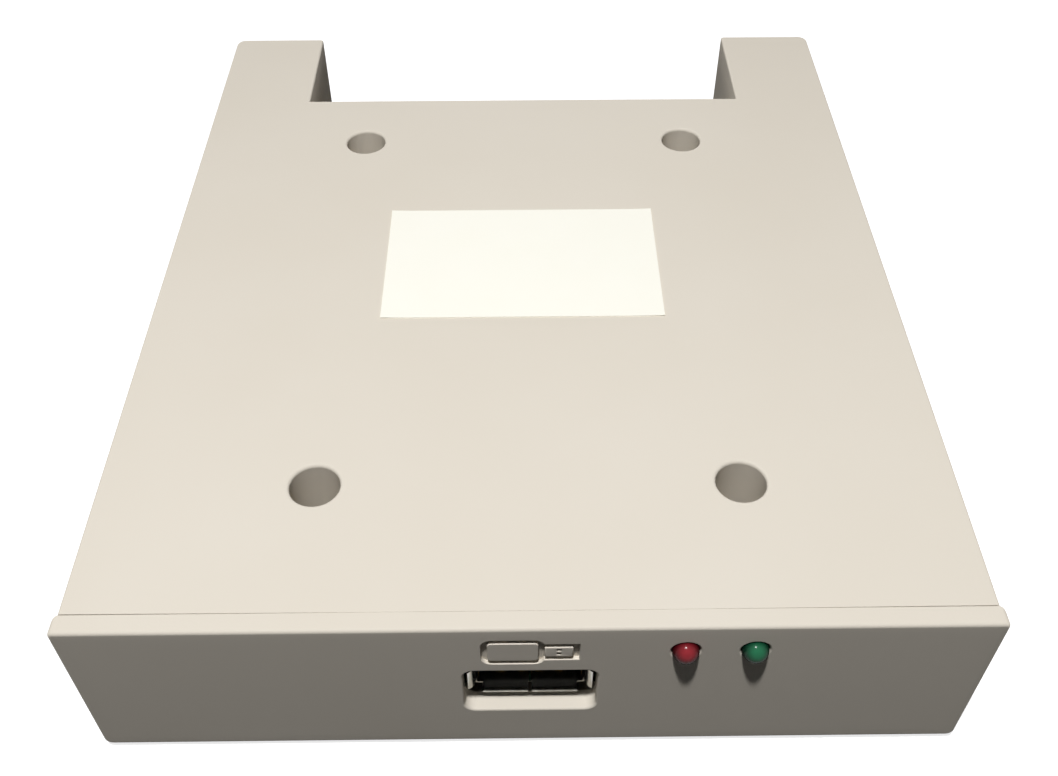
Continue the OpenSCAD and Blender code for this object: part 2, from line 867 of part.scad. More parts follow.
module buffer_chips() {
  notch_d = 1.2;
  notch_depth = 0.2;
  color("#26272a")
    for (p = buffer_ats)
      translate([p[0], p[1], z_top + buffer_stand])
        difference() {
          translate([-buffer_l / 2, -buffer_w / 2, 0])
            cube([buffer_l, buffer_w, buffer_h]);
          translate([-buffer_l / 2, 0, buffer_h - notch_depth])
            cylinder(d = notch_d, h = over);
        }
}

module buffer_leads() {
  lead_w = buffer_pitch * 0.33;
  lead_t = 0.2;
  color("#c4c6c8")
    for (p = buffer_ats)
      for (s = [-1, 1])
        for (i = [0 : buffer_leads_n - 1])
          translate([p[0] + (i - (buffer_leads_n - 1) / 2) * buffer_pitch, p[1] + s * buffer_w / 2, z_top])
            rotate(90 * s)
              gull_lead(buffer_reach, buffer_h / 2, lead_w, lead_t);
}

module regulator_body() {
  color("#26272a")
    translate([regulator_at[0] - regulator_w / 2, regulator_at[1] - regulator_l / 2, z_top + regulator_stand])
      cube([regulator_w, regulator_l, regulator_h]);
}

module regulator_leads() {
  lead_w = regulator_pitch * 0.3;
  tab_w = regulator_pitch * 1.3;
  lead_t = 0.25;
  color("#c4c6c8")
    translate([regulator_at[0], regulator_at[1], z_top]) {
      for (i = [-1 : 1])
        translate([i * regulator_pitch, -regulator_l / 2, 0])
          rotate(-90)
            gull_lead(regulator_reach, regulator_h / 2, lead_w, lead_t);
      translate([0, regulator_l / 2, 0])
        rotate(90)
          gull_lead(regulator_reach, regulator_h / 2, tab_w, lead_t);
    }
}

module stadium(l, w) {
  square([l - w, w], center = true);
  for (s = [-1, 1])
    translate([s * (l - w) / 2, 0])
      circle(d = w);
}

module crystal_can() {
  color("#b9bcc0")
    translate([crystal_at[0], crystal_at[1], z_top]) {
      linear_extrude(crystal_rim_t)
        stadium(crystal_l + 2 * crystal_rim, crystal_w + 2 * crystal_rim);
      linear_extrude(crystal_h)
        stadium(crystal_l, crystal_w);
    }
}

// round cans with a pressed groove near the foot and a sunk top
module electrolytic_capacitors() {
  r = can_d / 2;
  step = 0.2;
  groove = 1;
  color("#3b3f52")
    for (p = can_ats)
      translate([p[0], p[1], z_top])
        rotate_extrude()
          polygon([
            [0, 0], [r, 0], [r, groove], [r - step, groove + step],
            [r - step, groove + 3 * step], [r, groove + 4 * step], [r, can_h - step],
            [r - step, can_h], [r - 3 * step, can_h], [r - 3 * step, can_h - step], [0, can_h - step]
          ]);
}

module chip_part(p, w, l, h) {
  translate([p[0] - w / 2, p[1] - l / 2, z_top])
    cube([w, l, h]);
}

module chip_resistors() {
  color("#2b2b30")
    for (p = resistor_ats)
      chip_part(p, small_w, small_l, resistor_h);
}

module chip_capacitors() {
  color("#a98a63")
    for (p = capacitor_ats)
      chip_part(p, small_l, small_w, capacitor_h);
}

// a header's plastic block with square holes for its pins
module header_block(x, w, h, pin_xs, pin_rows) {
  hole = pin_s + 2 * pin_fit;
  difference() {
    translate([x - w / 2, y_bay - block_d, z_top])
      cube([w, block_d, h]);
    for (px = pin_xs)
      for (z = pin_rows)
        translate([px, y_bay - block_d / 2, z])
          cube([hole, block_d + 2 * over, hole], center = true);
  }
}

// right-angle pins: out into the bay at one end, down through the board at the other
module header_pins(pin_xs, row_count) {
  for (px = pin_xs)
    for (r = [0 : row_count - 1]) {
      translate([px - pin_s / 2, tail_rows[r] - pin_s / 2, rows[r] - pin_s / 2])
        cube([pin_s, y_bay + pin_out - tail_rows[r] + pin_s / 2, pin_s]);
      translate([px - pin_s / 2, tail_rows[r] - pin_s / 2, z_board - tail_under])
        cube([pin_s, pin_s, rows[r] + pin_s / 2 - z_board + tail_under]);
    }
}

module floppy_header_block() {
  color("#222326")
    header_block(drive_x, drive_w, 2 * pitch, drive_pin_xs, rows);
}

module floppy_header_pins() {
  color("#c9a24a")
    header_pins(drive_pin_xs, 2);
}

module jumper_header_block() {
  color("#222326")
    header_block(jumper_x, jumper_w, 2 * pitch, jumper_pin_xs, rows);
}

module jumper_header_pins() {
  color("#c9a24a")
    header_pins(jumper_pin_xs, 2);
}

// the power header has a roof and two cheeks that a plug slides between
module power_header_block() {
  color("#e9e6dc")
    union() {
      header_block(power_x, power_w, power_h, power_pin_xs, [rows[0]]);
      translate([power_x - power_w / 2, y_bay - block_d, z_top + power_h - power_roof])
        cube([power_w, block_d + power_out, power_roof]);
      for (s = [-1, 1])
        translate([
          power_x + s * (power_w - power_wall) / 2 - power_wall / 2,
          y_bay - block_d / 2,
          z_top + power_h - 2 * power_roof
        ])
          cube([power_wall, block_d / 2 + power_out, 2 * power_roof]);
    }
}

module power_header_pins() {
  color("#c4c6c8")
    header_pins(power_pin_xs, 1);
}

// a jumper's plastic cap, open towards the header, with a small grip at its end
module jumper_cap(n) {
  x = jumper_xs[n - 1];
  color("#1b1b1c")
    difference() {
      union() {
        translate([x - cap_w / 2, cap_y, cap_z - cap_h / 2])
          cube([cap_w, cap_l, cap_h]);
        translate([x - cap_w / 4, cap_y, cap_z - cap_h / 4])
          cube([cap_w / 2, cap_l + cap_grip, cap_h / 2]);
      }
      translate([x - cap_w / 2 + cap_wall, cap_y - over, cap_z - cap_h / 2 + cap_wall])
        cube([cap_w - 2 * cap_wall, cap_l - cap_wall + over, cap_h - 2 * cap_wall]);
    }
}

// the spring clip inside a cap that joins the two pins of one column
module jumper_clip(n) {
  x = jumper_xs[n - 1];
  inset = cap_wall + clip_fit;
  hole = pin_s + 2 * clip_fit;
  clip_w = cap_w - 2 * inset;
  color("#c9a24a")
    difference() {
      translate([x - clip_w / 2, cap_y + clip_fit, cap_z - cap_h / 2 + inset])
        cube([clip_w, clip_l, cap_h - 2 * inset]);
      for (r = rows)
        translate([x - hole / 2, cap_y - over, r - hole / 2])
          cube([hole, clip_l - clip_end + over, hole]);
      translate([x - clip_w, cap_y - over, cap_z - pitch / 4])
        cube([2 * clip_w, clip_l - clip_end + over, pitch / 2]);
    }
}

top_cover();
bottom_shell();
front_bezel();
paper_label();
case_screws();
main_board();
usb_shell();
usb_insulator();
usb_contact(1);  // usb_contact_1
usb_contact(2);  // usb_contact_2
usb_contact(3);  // usb_contact_3
usb_contact(4);  // usb_contact_4
usb_contact_tails();
red_led_lens();
red_led_leads();
green_led_lens();
green_led_leads();
controller_chip();
controller_leads();
buffer_chips();
buffer_leads();
regulator_body();
regulator_leads();
crystal_can();
electrolytic_capacitors();
chip_resistors();
chip_capacitors();
floppy_header_block();
floppy_header_pins();
jumper_header_block();
jumper_header_pins();
power_header_block();
power_header_pins();
jumper_cap(1);  // jumper_cap_1
jumper_clip(1);  // jumper_clip_1
jumper_cap(2);  // jumper_cap_2
jumper_clip(2);  // jumper_clip_2
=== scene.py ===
import json
import math

import bmesh
import bpy
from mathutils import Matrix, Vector

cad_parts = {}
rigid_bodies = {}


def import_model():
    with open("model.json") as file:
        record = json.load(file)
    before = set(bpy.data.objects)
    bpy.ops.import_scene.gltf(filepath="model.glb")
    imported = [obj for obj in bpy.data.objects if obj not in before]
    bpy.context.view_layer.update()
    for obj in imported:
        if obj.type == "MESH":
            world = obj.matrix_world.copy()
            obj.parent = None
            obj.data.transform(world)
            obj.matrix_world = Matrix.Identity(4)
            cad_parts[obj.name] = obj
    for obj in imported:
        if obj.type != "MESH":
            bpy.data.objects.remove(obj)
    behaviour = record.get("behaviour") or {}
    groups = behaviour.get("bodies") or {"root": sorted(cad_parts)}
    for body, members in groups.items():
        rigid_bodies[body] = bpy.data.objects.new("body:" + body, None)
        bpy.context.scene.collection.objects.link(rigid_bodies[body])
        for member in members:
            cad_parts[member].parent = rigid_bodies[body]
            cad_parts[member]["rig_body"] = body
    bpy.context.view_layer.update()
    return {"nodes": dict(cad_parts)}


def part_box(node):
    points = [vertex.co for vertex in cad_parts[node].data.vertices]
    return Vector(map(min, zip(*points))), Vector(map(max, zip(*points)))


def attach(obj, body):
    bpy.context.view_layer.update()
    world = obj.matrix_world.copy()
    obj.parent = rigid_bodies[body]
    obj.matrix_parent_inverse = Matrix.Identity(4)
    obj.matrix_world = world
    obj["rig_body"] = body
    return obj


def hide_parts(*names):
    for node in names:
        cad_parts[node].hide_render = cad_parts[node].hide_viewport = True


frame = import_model()
nodes = frame["nodes"]
mm = 0.001  # the frame is in metres
x, y, z = 0, 1, 2  # axes
scene = bpy.context.scene
print("frame:", len(nodes), "CAD nodes")


# camera, fitted to the corners of the case
shot = {
    "lens": 39.384,
    "sensorMm": 36.0,
    "placeMm": (-0.655, -126.903, 131.806),
    "turnDeg": (43.769, 0.091, -0.614),
    "clipMm": 1.0,
}

cameraData = bpy.data.cameras.new("camera")
cameraData.lens = shot["lens"]
cameraData.sensor_width = shot["sensorMm"]
cameraData.clip_start = shot["clipMm"] * mm
camera = bpy.data.objects.new("camera", cameraData)
camera.location = Vector(shot["placeMm"]) * mm
camera.rotation_euler = [math.radians(angle) for angle in shot["turnDeg"]]
scene.collection.objects.link(camera)
scene.camera = camera
scene.view_settings.view_transform = "Standard"
print("camera placed")


def linear(code):  # an sRGB hex colour as linear RGBA
    parts = [int(code[i:i + 2], 16) / 255 for i in (1, 3, 5)]
    return [p / 12.92 if p <= 0.04045 else ((p + 0.055) / 1.055) ** 2.4 for p in parts] + [1.0]


def perSize(sizeMm):  # a texture's scale for a pattern of this real size
    return 1 / (sizeMm * mm)


def addNode(tree, kind, inputs=None, **settings):  # an input is a plain value or the socket to link
    node = tree.nodes.new("ShaderNode" + kind)
    for name, value in settings.items():
        setattr(node, name, value)
    for name, value in (inputs or {}).items():
        if isinstance(value, bpy.types.NodeSocket):
            tree.links.new(value, node.inputs[name])
        else:
            node.inputs[name].default_value = value
    return node


# lamps: a small one half a metre above the front and three faint low ones for the other sides
lamps = {
    "keyLamp": {"placeMm": (-26, -154, 500), "aimMm": (0, -30, 25), "sizeMm": 28, "watts": 2.42},
    "leftLamp": {"placeMm": (-560, 40, 36), "aimMm": (0, 10, 15), "sizeMm": 70, "watts": 0.6},
    "rightLamp": {"placeMm": (560, 40, 28), "aimMm": (0, 10, 15), "sizeMm": 70, "watts": 0.65},
    "rearLamp": {"placeMm": (-40, 620, 80), "aimMm": (0, 10, 15), "sizeMm": 70, "watts": 0.65},
}

for lampName, lampLook in lamps.items():
    lampData = bpy.data.lights.new(lampName, "AREA")
    lampData.shape = "DISK"
    lampData.size = lampLook["sizeMm"] * mm
    lampData.energy = lampLook["watts"]
    lampObject = bpy.data.objects.new(lampName, lampData)
    place = Vector(lampLook["placeMm"]) * mm
    lampObject.location = place
    lampObject.visible_camera = False
    lampObject.rotation_euler = (Vector(lampLook["aimMm"]) * mm - place).to_track_quat("-Z", "Y").to_euler()
    scene.collection.objects.link(lampObject)

# floor and surroundings: white where they are seen, dim where they light the object
stage = {
    "white": "#ffffff", "ambient": 0.05,
    "floorMm": 4000, "floorDropMm": 0.02, "floorColor": "#bcbcbc", "floorDim": "#202020",
    "glow": (0.78, 1.0), "glowMm": (150, 500),  # the floor's own white, near the object and far from it
}


def seenDirectly(tree):  # 1 for rays that show the background, 0 for rays that gather light
    path = addNode(tree, "LightPath")
    either = addNode(tree, "Math", {0: path.outputs["Is Camera Ray"], 1: path.outputs["Is Glossy Ray"]},
                     operation="MAXIMUM")
    return addNode(tree, "Math", {0: either.outputs[0], 1: path.outputs["Is Transmission Ray"]},
                   operation="MAXIMUM").outputs[0]


def surroundings():
    world = bpy.data.worlds.new("surroundings")
    world.use_nodes = True
    tree = world.node_tree
    tree.nodes.clear()
    dim = addNode(tree, "Background", {"Color": linear(stage["white"]), "Strength": stage["ambient"]})
    white = addNode(tree, "Background", {"Color": linear(stage["white"]), "Strength": 1.0})
    both = addNode(tree, "MixShader", {0: seenDirectly(tree), 1: dim.outputs[0], 2: white.outputs[0]})
    addNode(tree, "OutputWorld", {"Surface": both.outputs[0]})
    scene.world = world


def paleFloor():
    bm = bmesh.new()
    bmesh.ops.create_grid(bm, x_segments=1, y_segments=1, size=stage["floorMm"] * mm / 2)
    bmesh.ops.translate(bm, verts=bm.verts, vec=(0, 0, -stage["floorDropMm"] * mm))
    mesh = bpy.data.meshes.new("paleFloor")
    bm.to_mesh(mesh)
    bm.free()
    floor = bpy.data.objects.new("paleFloor", mesh)
    scene.collection.objects.link(floor)
    material = bpy.data.materials.new("paintedFloor")
    material.use_nodes = True
    tree = material.node_tree
    tree.nodes.clear()
    dim = addNode(tree, "BsdfDiffuse", {"Color": linear(stage["floorDim"])})
    lit = addNode(tree, "BsdfDiffuse", {"Color": linear(stage["floorColor"])})
    where = addNode(tree, "TexCoord").outputs["Object"]
    reach = addNode(tree, "VectorMath", {0: where}, operation="LENGTH").outputs["Value"]
    nearGlow, farGlow = stage["glow"]
    nearMm, farMm = stage["glowMm"]
    strength = addNode(tree, "MapRange", {"Value": reach, "From Min": nearMm * mm, "From Max": farMm * mm,
                                          "To Min": nearGlow, "To Max": farGlow})
    glow = addNode(tree, "Emission", {"Color": linear(stage["white"]), "Strength": strength.outputs[0]})
    white = addNode(tree, "AddShader", {0: lit.outputs[0], 1: glow.outputs[0]})
    both = addNode(tree, "MixShader", {0: seenDirectly(tree), 1: dim.outputs[0], 2: white.outputs[0]})
    addNode(tree, "OutputMaterial", {"Surface": both.outputs[0]})
    mesh.materials.append(material)


surroundings()
paleFloor()
print("stage lit")


# noise of the materials: levels of detail, and the span of values that most of it lies in
noise = {"toneDetail": 4.0, "glossDetail": 3.0, "grainDetail": 2.0, "span": (0.3, 0.7)}


def mixedColor(tree, share, first, second):  # a Mix node takes colours at 6 and 7 and gives one at 2
    return addNode(tree, "Mix", {0: share, 6: first, 7: second}, data_type="RGBA").outputs[2]


def surface(name, look):  # colour, gloss and grain of one finish
    material = bpy.data.materials.new(name)
    material.use_nodes = True
    tree = material.node_tree
    tree.nodes.clear()
    where = addNode(tree, "TexCoord").outputs["Object"]
    flow = addNode(tree, "Mapping", {"Vector": where, "Scale": look.get("stretch", (1, 1, 1))}).outputs[0]
    tone = addNode(tree, "TexNoise", {"Vector": flow, "Scale": perSize(look["toneMm"]),
                                      "Detail": noise["toneDetail"]})
    dark, light = look["colors"]
    color = mixedColor(tree, tone.outputs[0], linear(dark), linear(light))
    patches = addNode(tree, "TexNoise", {"Vector": flow, "Scale": perSize(look["glossMm"]),
                                         "Detail": noise["glossDetail"]})
    gloss = addNode(tree, "MapRange", {
        "Value": patches.outputs[0], "From Min": noise["span"][0], "From Max": noise["span"][1],
        "To Min": look["roughness"][0], "To Max": look["roughness"][1]})
    grain = addNode(tree, "TexNoise", {"Vector": flow, "Scale": perSize(look["grainMm"]),
                                       "Detail": noise["grainDetail"]})
    bump = addNode(tree, "Bump", {"Height": grain.outputs[0], "Distance": look["grainHeightMm"] * mm})
    shader = addNode(tree, "BsdfPrincipled", {
        "Base Color": color, "Roughness": gloss.outputs[0], "Normal": bump.outputs[0], **look["sockets"]})
    addNode(tree, "OutputMaterial", {"Surface": shader.outputs[0]})
    return material, tree, where, color, shader


# moulded ABS: cream, nearly matt from a fine eroded grain, with a few specks
mouldedAbs = {
    "colors": ("#ddd5c7", "#e2dbcf"), "toneMm": 28,
    "roughness": (0.4, 0.54), "glossMm": 11,
    "grainMm": 0.3, "grainHeightMm": 0.006,  # the real grain is a third of this and wouldn't show
    "sockets": {"IOR": 1.54, "Specular IOR Level": 0.0,
                "Coat Weight": 0.1, "Coat Roughness": 0.4},  # a faint skin gloss
    "speckColor": "#a89f8c", "speckGapMm": 16, "speckMm": 0.16, "speckShare": 0.8,
}


def caseMaterial():
    look = mouldedAbs
    material, tree, where, color, shader = surface("mouldedAbs", look)
    cells = addNode(tree, "TexVoronoi", {"Vector": where, "Scale": perSize(look["speckGapMm"])})
    reach = look["speckMm"] / look["speckGapMm"]
    speck = addNode(tree, "MapRange", {"Value": cells.outputs["Distance"], "From Min": reach / 2,
                                       "From Max": reach, "To Min": look["speckShare"], "To Max": 0.0})
    spotted = mixedColor(tree, speck.outputs[0], color, linear(look["speckColor"]))
    tree.links.new(spotted, shader.inputs["Base Color"])
    return material


# coated label paper: warm white, nearly matt, with faint fibres
labelPaper = {
    "colors": ("#fbf9ed", "#fdfbf1"), "toneMm": 6,
    "roughness": (0.55, 0.68), "glossMm": 3,
    "grainMm": 0.35, "grainHeightMm": 0.004,
    "sockets": {"IOR": 1.45},
}


def paperMaterial():
    return surface("coatedPaper", labelPaper)[0]


# tinted lamp epoxy: glossy, with a painted highlight round a point near the tip and painted shade towards the
# rims (the last colour of each entry)
lampEpoxy = {
    "red_epoxy": ("redLampEpoxy", "red_led_lens", ("#8c242c", "#962c34"), "#3e060d"),
    "green_epoxy": ("greenLampEpoxy", "green_led_lens", ("#206846", "#28724f"), "#06281a"),
}
lampGloss = {
    "toneMm": 0.8, "roughness": (0.2, 0.24), "glossMm": 0.8, "grainMm": 0.3, "grainHeightMm": 0.001,
    "sockets": {"Specular IOR Level": 0.0, "Coat Weight": 0.25, "Coat Roughness": 0.2, "Coat IOR": 1.54},
}
lampPaintedLight = {"sinkMm": 0.4, "raiseMm": 0.9,  # the painted highlight's centre, behind the tip and raised above the axis towards the lamp
            "paintedLightMm": 0.3, "paintedShadeMm": 1.7}  # how far from it the painted highlight reaches, and where the painted shade is deepest


def lampMaterial(name, nodeName, colors, paintedShadeColor):
    material, tree, where, color, shader = surface(name, {**lampGloss, "colors": colors})
    low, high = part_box(nodeName)
    # painted light and shade: the base colour is lighter near a point raised towards the lamp and darker
    # towards the rims
    paintedLightPoint = (low + high) / 2
    paintedLightPoint.y = low.y + lampPaintedLight["sinkMm"] * mm
    paintedLightPoint.z += lampPaintedLight["raiseMm"] * mm
    distance = addNode(tree, "VectorMath", {0: where, 1: paintedLightPoint}, operation="DISTANCE")
    paintedShadeShare = addNode(tree, "MapRange", {
        "Value": distance.outputs["Value"], "From Min": lampPaintedLight["paintedLightMm"] * mm,
        "From Max": lampPaintedLight["paintedShadeMm"] * mm, "To Min": 0.0, "To Max": 1.0}, interpolation_type="SMOOTHSTEP")
    paintedLightAndShade = mixedColor(tree, paintedShadeShare.outputs[0], color, linear(paintedShadeColor))
    tree.links.new(paintedLightAndShade, shader.inputs["Base Color"])
    return material


# the remaining finishes need no pattern beyond colour, gloss and grain
simpleFinishes = {
    # zinc-plated steel: cool grey, softly glossy
    "screw_steel": ("zincPlatedSteel", {
        "colors": ("#9b9ea3", "#b0b3b6"), "toneMm": 1.2, "roughness": (0.26, 0.4), "glossMm": 0.7,
        "grainMm": 0.12, "grainHeightMm": 0.003, "sockets": {"Metallic": 1.0}}),
    # glass-epoxy laminate under dark green solder mask
    "board_laminate": ("solderMaskedLaminate", {
        "colors": ("#0d2d1b", "#123a24"), "toneMm": 3, "roughness": (0.28, 0.4), "glossMm": 2,
        "grainMm": 0.4, "grainHeightMm": 0.008, "sockets": {"IOR": 1.55}}),
    # tinned sheet steel, rolled along the port
    "shell_steel": ("tinnedSheetSteel", {
        "colors": ("#9a9993", "#acaba5"), "toneMm": 0.8, "roughness": (0.12, 0.2), "glossMm": 0.6,
        "grainMm": 0.1, "grainHeightMm": 0.002, "stretch": (1, 0.06, 1), "sockets": {"Metallic": 1.0}}),
    # glass-filled polyester: near black, dull
    "black_plastic": ("glassFilledPolyester", {
        "colors": ("#161617", "#1f1f21"), "toneMm": 1.5, "roughness": (0.42, 0.58), "glossMm": 1.0,
        "grainMm": 0.14, "grainHeightMm": 0.006, "sockets": {"IOR": 1.57}}),
    # gold flash over nickel
    "contact_metal": ("goldFlash", {
        "colors": ("#d2a851", "#dfba69"), "toneMm": 0.7, "roughness": (0.18, 0.32), "glossMm": 0.4,
        "grainMm": 0.1, "grainHeightMm": 0.002, "stretch": (1, 0.2, 1), "sockets": {"Metallic": 1.0}}),
    # solder-dipped copper
    "tinned_wire": ("tinnedCopper", {
        "colors": ("#b9bcbe", "#cfd1d2"), "toneMm": 0.6, "roughness": (0.24, 0.42), "glossMm": 0.4,
        "grainMm": 0.12, "grainHeightMm": 0.003, "sockets": {"Metallic": 1.0}}),
    # moulding compound of chips
    "chip_epoxy": ("mouldingCompound", {
        "colors": ("#1d1e20", "#26272a"), "toneMm": 1.2, "roughness": (0.5, 0.66), "glossMm": 0.8,
        "grainMm": 0.12, "grainHeightMm": 0.006, "sockets": {"IOR": 1.55}}),
    # drawn nickel-plated can
    "crystal_metal": ("nickelPlatedCan", {
        "colors": ("#c2bfb6", "#d3d0c8"), "toneMm": 1.0, "roughness": (0.2, 0.34), "glossMm": 0.8,
        "grainMm": 0.1, "grainHeightMm": 0.002, "stretch": (1, 1, 0.1), "sockets": {"Metallic": 1.0}}),
    # shrunk vinyl sleeve
    "capacitor_sleeve": ("vinylSleeve", {
        "colors": ("#1d2740", "#24304c"), "toneMm": 1.2, "roughness": (0.28, 0.4), "glossMm": 1.0,
        "grainMm": 0.2, "grainHeightMm": 0.003, "sockets": {"IOR": 1.53}}),
    # glazed chip resistor
    "resistor_ceramic": ("glazedResistor", {
        "colors": ("#1b1c1e", "#242629"), "toneMm": 0.6, "roughness": (0.3, 0.45), "glossMm": 0.4,
        "grainMm": 0.1, "grainHeightMm": 0.003, "sockets": {"IOR": 1.55}}),
    # fired ceramic chip capacitor
    "capacitor_ceramic": ("firedCeramic", {
        "colors": ("#a38a68", "#b39a76"), "toneMm": 0.5, "roughness": (0.45, 0.6), "glossMm": 0.4,
        "grainMm": 0.1, "grainHeightMm": 0.004, "sockets": {"IOR": 1.6}}),
    # natural nylon: milky white, waxy
    "white_nylon": ("naturalNylon", {
        "colors": ("#e6e2d6", "#efece1"), "toneMm": 2.5, "roughness": (0.36, 0.5), "glossMm": 1.5,
        "grainMm": 0.2, "grainHeightMm": 0.004, "sockets": {"IOR": 1.53}}),
}

finishes = {"case_plastic": caseMaterial(), "label_paper": paperMaterial()}
for slotName, epoxyLook in lampEpoxy.items():
    finishes[slotName] = lampMaterial(*epoxyLook)
for slotName, (finishName, look) in simpleFinishes.items():
    finishes[slotName] = surface(finishName, look)[0]
for node in nodes.values():
    node["slotName"] = node.data.materials[0].name
    node.material_slots[0].material = finishes[node["slotName"]]
print("materials:", len(finishes))


# mesh work: distances in mm, and the angles at which faces are joined, edges rounded and edges drawn sharp
meshing = {"merge": 0.002, "cut": 0.001, "near": 0.01, "flatDeg": 0.4, "roundDeg": 30, "sharpDeg": 40}
near = meshing["near"]


def cadCopy(nodeName, cuts=()):  # a node's triangles, merged, with its flat faces joined up to each cut
    bm = bmesh.new()
    bm.from_mesh(nodes[nodeName].data)
    bmesh.ops.remove_doubles(bm, verts=bm.verts, dist=meshing["merge"] * mm)
    for axis, place in cuts:
        normal = Vector([float(i == axis) for i in range(3)])
        cut = bmesh.ops.bisect_plane(bm, geom=bm.verts[:] + bm.edges[:] + bm.faces[:], plane_no=normal,
                                     plane_co=normal * place * mm, dist=meshing["cut"] * mm)["geom_cut"]
        for edge in cut:
            if isinstance(edge, bmesh.types.BMEdge):
                edge.seam = True
    bmesh.ops.dissolve_limit(bm, angle_limit=math.radians(meshing["flatDeg"]), verts=bm.verts, edges=bm.edges,
                             delimit={"SEAM"})
    return bm


def roundEdges(bm, radiusMm, rule, segments=3):  # rounds the outside edges that a rule picks by their ends
    edges = [edge for edge in bm.edges
             if edge.calc_face_angle_signed(0) > math.radians(meshing["roundDeg"])
             and rule(*(vert.co / mm for vert in edge.verts))]
    bmesh.ops.bevel(bm, geom=edges, offset=radiusMm * mm, offset_type="OFFSET", affect="EDGES",
                    segments=segments, profile=0.5, material=-1, clamp_overlap=False, loop_slide=False)


def boxMm(nodeName):
    low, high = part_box(nodeName)
    return low / mm, high / mm


def level(axis, value, *ends):  # whether the ends of an edge lie at one height, width or depth
    return all(abs(end[axis] - value) < near for end in ends)


def addPiece(name, bm, nodeName):  # a finished mesh in place of a CAD node
    slotName = nodes[nodeName]["slotName"]
    for face in bm.faces:
        face.smooth = True
    for edge in bm.edges:
        edge.smooth = edge.calc_face_angle(0) < math.radians(meshing["sharpDeg"])
    mesh = bpy.data.meshes.new(name)
    bm.to_mesh(mesh)
    bm.free()
    piece = bpy.data.objects.new(name, mesh)
    scene.collection.objects.link(piece)
    mesh.materials.append(finishes[slotName])
    even = piece.modifiers.new("evenShading", "WEIGHTED_NORMAL")
    even.keep_sharp = True
    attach(piece, nodes[nodeName]["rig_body"])
    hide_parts(nodeName)


# the bay at the back: a width between its walls and the case's sides, and the least height of an upright edge
bay = {"cornersWithinX": 45, "minHigh": 1}
coverLow, coverHigh = boxMm("top_cover")


def bayCorner(a, b):  # the upright edges where the bay meets the back
    upright = abs(a.z - b.z) > bay["minHigh"]
    return level(y, coverHigh.y, a, b) and upright and abs(a.x) < bay["cornersWithinX"]


# upper half of the case
coverEdges = {"rim": 0.4, "front": 0.06, "wellRim": 0.48, "joint": 0.18, "wellsReach": 30, "topBand": 0.8,
              "seamFrom": 18, "seamOpen": 0.1}  # the seam behind the panel opens from here to the sides


def topCover():
    low, high, edges = coverLow, coverHigh, coverEdges
    bm = cadCopy("top_cover", [(x, -edges["seamFrom"]), (x, edges["seamFrom"])])
    jointZ = min(vert.co.z for vert in bm.verts if level(x, high.x, vert.co / mm)) / mm
    atTop = lambda a, b: level(z, high.z, a, b)
    outside = lambda a, b: max(abs(a.x), abs(b.x)) > edges["wellsReach"]
    atFront = lambda a, b: level(y, low.y, a, b) and min(a.z, b.z) > high.z - edges["topBand"]
    roundEdges(bm, edges["rim"], lambda a, b: bayCorner(a, b)
               or atTop(a, b) and outside(a, b) and not level(y, low.y, a, b))
    roundEdges(bm, edges["front"], atFront, segments=2)
    roundEdges(bm, edges["wellRim"], lambda a, b: atTop(a, b) and not outside(a, b))
    roundEdges(bm, edges["joint"], lambda a, b: level(z, jointZ, a, b), segments=2)
    for vert in bm.verts:
        at = vert.co / mm
        aside = (abs(at.x) - edges["seamFrom"]) / (high.x - edges["seamFrom"])
        if aside > 0 and at.y < low.y + edges["rim"] and at.z > high.z - edges["topBand"]:
            vert.co.y += edges["seamOpen"] * aside * mm
    addPiece("topCover", bm, "top_cover")


# lower half of the case
trayEdges = {"base": 0.4, "hole": 0.15, "joint": 0.18,
             "baseHolesX": (44, 48), "baseHolesToY": 60, "sideHolesZ": (3, 7)}  # where the holes are


def bottomShell():
    bm = cadCopy("bottom_shell")
    low, high, edges = *boxMm("bottom_shell"), trayEdges
    jointZ = max(vert.co.z for vert in bm.verts if level(x, high.x, vert.co / mm)) / mm
    atBase = lambda a, b: level(z, low.z, a, b)
    (holeInX, holeOutX), (holeLowZ, holeHighZ) = edges["baseHolesX"], edges["sideHolesZ"]
    baseHole = lambda a, b: all(holeInX < abs(p.x) < holeOutX and p.y < edges["baseHolesToY"] for p in (a, b))
    atSide = lambda a, b: level(x, high.x, a, b) or level(x, low.x, a, b)
    sideHole = lambda a, b: atSide(a, b) and all(holeLowZ < p.z < holeHighZ for p in (a, b))
    roundEdges(bm, edges["base"], lambda a, b: bayCorner(a, b) or atBase(a, b) and not baseHole(a, b))
    roundEdges(bm, edges["hole"], lambda a, b: atBase(a, b) and baseHole(a, b) or sideHole(a, b), segments=2)
    roundEdges(bm, edges["joint"], lambda a, b: level(z, jointZ, a, b), segments=2)
    addPiece("bottomShell", bm, "bottom_shell")


# front panel
panelEdges = {"ends": 0.7, "front": 0.45, "back": 0.06, "port": 0.28, "lamp": 0.26, "mark": 0.1,
              "frame": 1.5, "band": 1.1, "topBand": 0.5}  # cuts and edges that count as the outline
panelZones = {"port": (-8, 8, 8, 17.2), "mark": (-8, 8, 17.2, 24), "lamp": (14, 27, 18, 24)}  # x and z


